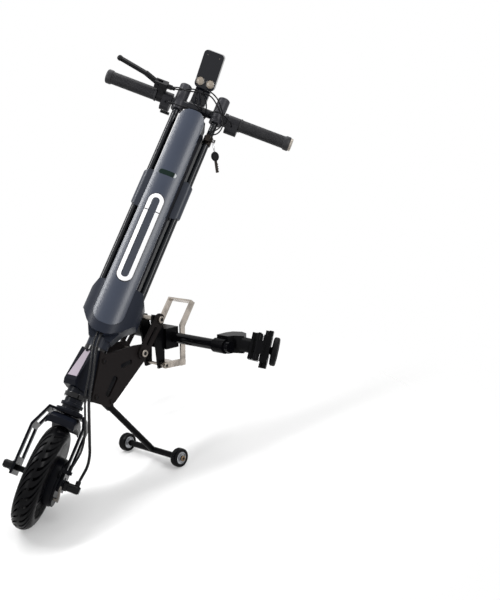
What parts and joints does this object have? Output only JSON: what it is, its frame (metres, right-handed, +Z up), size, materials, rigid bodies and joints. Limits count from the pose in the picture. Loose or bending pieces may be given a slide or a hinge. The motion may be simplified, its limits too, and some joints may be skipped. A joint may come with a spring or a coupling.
{
  "type": "wheelchair power assist",
  "caption": "Front power attachment for a wheelchair: driven wheel, leaning column with battery and handlebar, stand, and arms with swivelling tube clamps.",
  "frame": {"origin": "middle of the overall box at floor level, standing on the front wheel and the stand wheels", "axes": "+X to the user's left, along the arm tube; -Y is the way of travel; +Z up"},
  "size_m": [0.632, 0.9379, 1.0077],
  "materials": {
    "bare_alloy": "satin",
    "black_metal": "satin",
    "black_plastic": "matte",
    "bronze": "satin",
    "button_red": "satin",
    "cable_black": "satin",
    "cell_blue": "gloss",
    "clamp_alloy": "satin",
    "column_alloy": "satin",
    "cover_navy": "satin",
    "display_black": "gloss",
    "dock_alloy": "satin",
    "gloss_black_metal": "gloss",
    "grey_plastic": "matte",
    "hub_alloy": "satin",
    "knob_plastic": "matte",
    "lamp_tan": "gloss",
    "lens": "gloss",
    "loop_nickel": "satin",
    "navy_plastic": "satin",
    "plate_brown_black": "matte",
    "ring_white": "gloss",
    "rubber_black": "matte",
    "screen": "gloss",
    "stand_tyre": "matte",
    "steel": "satin",
    "tyre_black": "matte",
    "winding": "satin",
    "window_green": "gloss",
    "wire_grey": "satin",
    "zinc": "satin"
  },
  "bodies": {
    "frame": {"head_tube": "black_metal", "headset": "gloss_black_metal", "frame_plates": "plate_brown_black", "frame_bolts": "zinc", "head_hood": "navy_plastic", "headlight_lens": "lens", "stand_leg": "black_metal"},
    "column": {"steerer": "black_metal", "fork": "black_metal", "mudguard": "black_plastic", "axle": "steel", "axle_fittings": "black_metal", "motor_stator": "winding", "brake_plate": "hub_alloy", "brake_cable": "cable_black", "motor_lead": "cable_black", "base_dock": "navy_plastic", "column_tubes": "column_alloy", "tube_clasps": "navy_plastic", "bar_clamps": "grey_plastic", "battery_cover": "cover_navy", "battery_tray": "navy_plastic", "cell_pack": "cell_blue", "controller": "bare_alloy", "charge_window": "window_green", "ring_trim": "ring_white", "handlebar": "column_alloy", "grips": "rubber_black", "brake_bracket": "grey_plastic", "control_pods": "grey_plastic", "display_housing": "display_black", "display_screen": "screen", "display_lamps": "lamp_tan", "key_lock": "bronze", "wiring_harness": "wire_grey"},
    "front_wheel": {"tyre": "tyre_black", "hub_shell": "hub_alloy", "hub_cover": "hub_alloy", "wheel_bearings": "steel"},
    "dock": {"dock_links": "plate_brown_black", "dock_block": "dock_alloy", "dock_bolts": "zinc", "arm_tube": "dock_alloy"},
    "stand_wheel_left": {"stand_wheel_left": "stand_tyre"},
    "stand_wheel_right": {"stand_wheel_right": "stand_tyre"},
    "carry_handle": {"carry_handle": "ring_white"},
    "brake_lever": {"brake_lever": "dock_alloy"},
    "brake_arm": {"brake_arm": "steel"},
    "throttle_lever": {"throttle_lever": "grey_plastic"},
    "horn_button": {"horn_button": "button_red"},
    "hanging_key": {"hanging_key": "steel"},
    "release_lever": {"release_lever": "loop_nickel"},
    "collar_left": {"collar_left": "clamp_alloy"},
    "collar_right": {"collar_right": "clamp_alloy"},
    "clamp_body_left": {"clamp_body_left": "clamp_alloy"},
    "clamp_body_right": {"clamp_body_right": "clamp_alloy"},
    "clamp_jaw_left": {"clamp_jaw_left": "clamp_alloy"},
    "clamp_jaw_right": {"clamp_jaw_right": "clamp_alloy"},
    "clamp_knob_left": {"clamp_knob_left": "knob_plastic"},
    "clamp_knob_right": {"clamp_knob_right": "knob_plastic"}
  },
  "joints": [
    {"name": "steering", "type": "hinge", "parent": "frame", "child": "column", "pos_m": [0, -0.356, 0.11441], "axis": [0, 0.6859, 0.7277], "range_deg": [-82, 0]},
    {"name": "front_wheel_spin", "type": "hinge", "parent": "column", "child": "front_wheel", "pos_m": [0, -0.356, 0.11441], "axis": [0.7547, 0.4774, -0.45], "continuous": true},
    {"name": "stand_wheel_left_spin", "type": "hinge", "parent": "frame", "child": "stand_wheel_left", "pos_m": [0.0975, -0.01659, 0.024], "axis": [1, 0, 0], "continuous": true},
    {"name": "stand_wheel_right_spin", "type": "hinge", "parent": "frame", "child": "stand_wheel_right", "pos_m": [-0.0975, -0.01659, 0.024], "axis": [1, 0, 0], "continuous": true},
    {"name": "brake_lever_pull", "type": "hinge", "parent": "column", "child": "brake_lever", "pos_m": [-0.06804, 0.27154, 0.92389], "axis": [0.3181, -0.8662, -0.3855], "range_deg": [0, 15], "stiffness_Nm_per_rad": 3, "springref_deg": -3.44},
    {"name": "brake_arm_pull", "type": "hinge", "parent": "column", "child": "brake_arm", "pos_m": [0.05821, -0.36508, 0.0735], "axis": [-0.7547, -0.4774, 0.45], "range_deg": [0, 18]},
    {"name": "throttle_push", "type": "hinge", "parent": "column", "child": "throttle_lever", "pos_m": [-0.07071, 0.28519, 0.86501], "axis": [-0.7547, -0.4774, 0.45], "range_deg": [0, 25], "stiffness_Nm_per_rad": 0.25, "springref_deg": -11.46},
    {"name": "horn_press", "type": "slide", "parent": "column", "child": "horn_button", "axis": [0.6561, -0.5492, 0.5176], "range_m": [0, 0.0025], "stiffness_N_per_m": 800, "springref_m": -0.0012},
    {"name": "carry_handle_fold", "type": "hinge", "parent": "column", "child": "carry_handle", "pos_m": [0.03621, 0.08173, 0.63957], "axis": [0.7547, 0.4774, -0.45], "range_deg": [0, 80]},
    {"name": "key_swing", "type": "hinge", "parent": "column", "child": "hanging_key", "pos_m": [0.05985, 0.3072, 0.76731], "axis": [-0.766, 0.6428, 0], "range_deg": [-30, 10]},
    {"name": "dock_tilt", "type": "hinge", "parent": "frame", "child": "dock", "pos_m": [0, -0.02629, 0.30385], "axis": [1, 0, 0], "range_deg": [0, 10]},
    {"name": "release_loop_pull", "type": "hinge", "parent": "dock", "child": "release_lever", "pos_m": [0.04, 0.03778, 0.24642], "axis": [-1, 0, 0], "range_deg": [0, 25], "stiffness_Nm_per_rad": 3, "springref_deg": -20.05},
    {"name": "collar_left_slide", "type": "slide", "parent": "dock", "child": "collar_left", "axis": [1, 0, 0], "range_m": [-0.04, 0.01]},
    {"name": "clamp_left_swivel", "type": "hinge", "parent": "collar_left", "child": "clamp_body_left", "pos_m": [0.275, 0.14771, 0.2864], "axis": [0.8192, 0.4911, -0.2963], "range_deg": [-20, 20]},
    {"name": "clamp_left_jaw", "type": "hinge", "parent": "clamp_body_left", "child": "clamp_jaw_left", "pos_m": [0.28623, 0.12204, 0.30189], "axis": [0, -0.5166, -0.8562], "range_deg": [0, 50]},
    {"name": "clamp_left_knob", "type": "hinge", "parent": "clamp_jaw_left", "child": "clamp_knob_left", "pos_m": [0.28319, 0.17352, 0.27083], "axis": [0.8192, 0.4911, -0.2963], "continuous": true},
    {"name": "collar_right_slide", "type": "slide", "parent": "dock", "child": "collar_right", "axis": [-1, 0, 0], "range_m": [-0.04, 0.01]},
    {"name": "clamp_right_swivel", "type": "hinge", "parent": "collar_right", "child": "clamp_body_right", "pos_m": [-0.275, 0.14771, 0.2864], "axis": [-0.8192, 0.4911, -0.2963], "range_deg": [-20, 20]},
    {"name": "clamp_right_jaw", "type": "hinge", "parent": "clamp_body_right", "child": "clamp_jaw_right", "pos_m": [-0.28623, 0.12204, 0.30189], "axis": [0, 0.5166, 0.8562], "range_deg": [0, 50]},
    {"name": "clamp_right_knob", "type": "hinge", "parent": "clamp_jaw_right", "child": "clamp_knob_right", "pos_m": [-0.28319, 0.17352, 0.27083], "axis": [-0.8192, 0.4911, -0.2963], "continuous": true}
  ],
  "couplings": [
    {"joint": "brake_arm_pull", "follows": "brake_lever_pull", "ratio": 1.2}
  ]
}
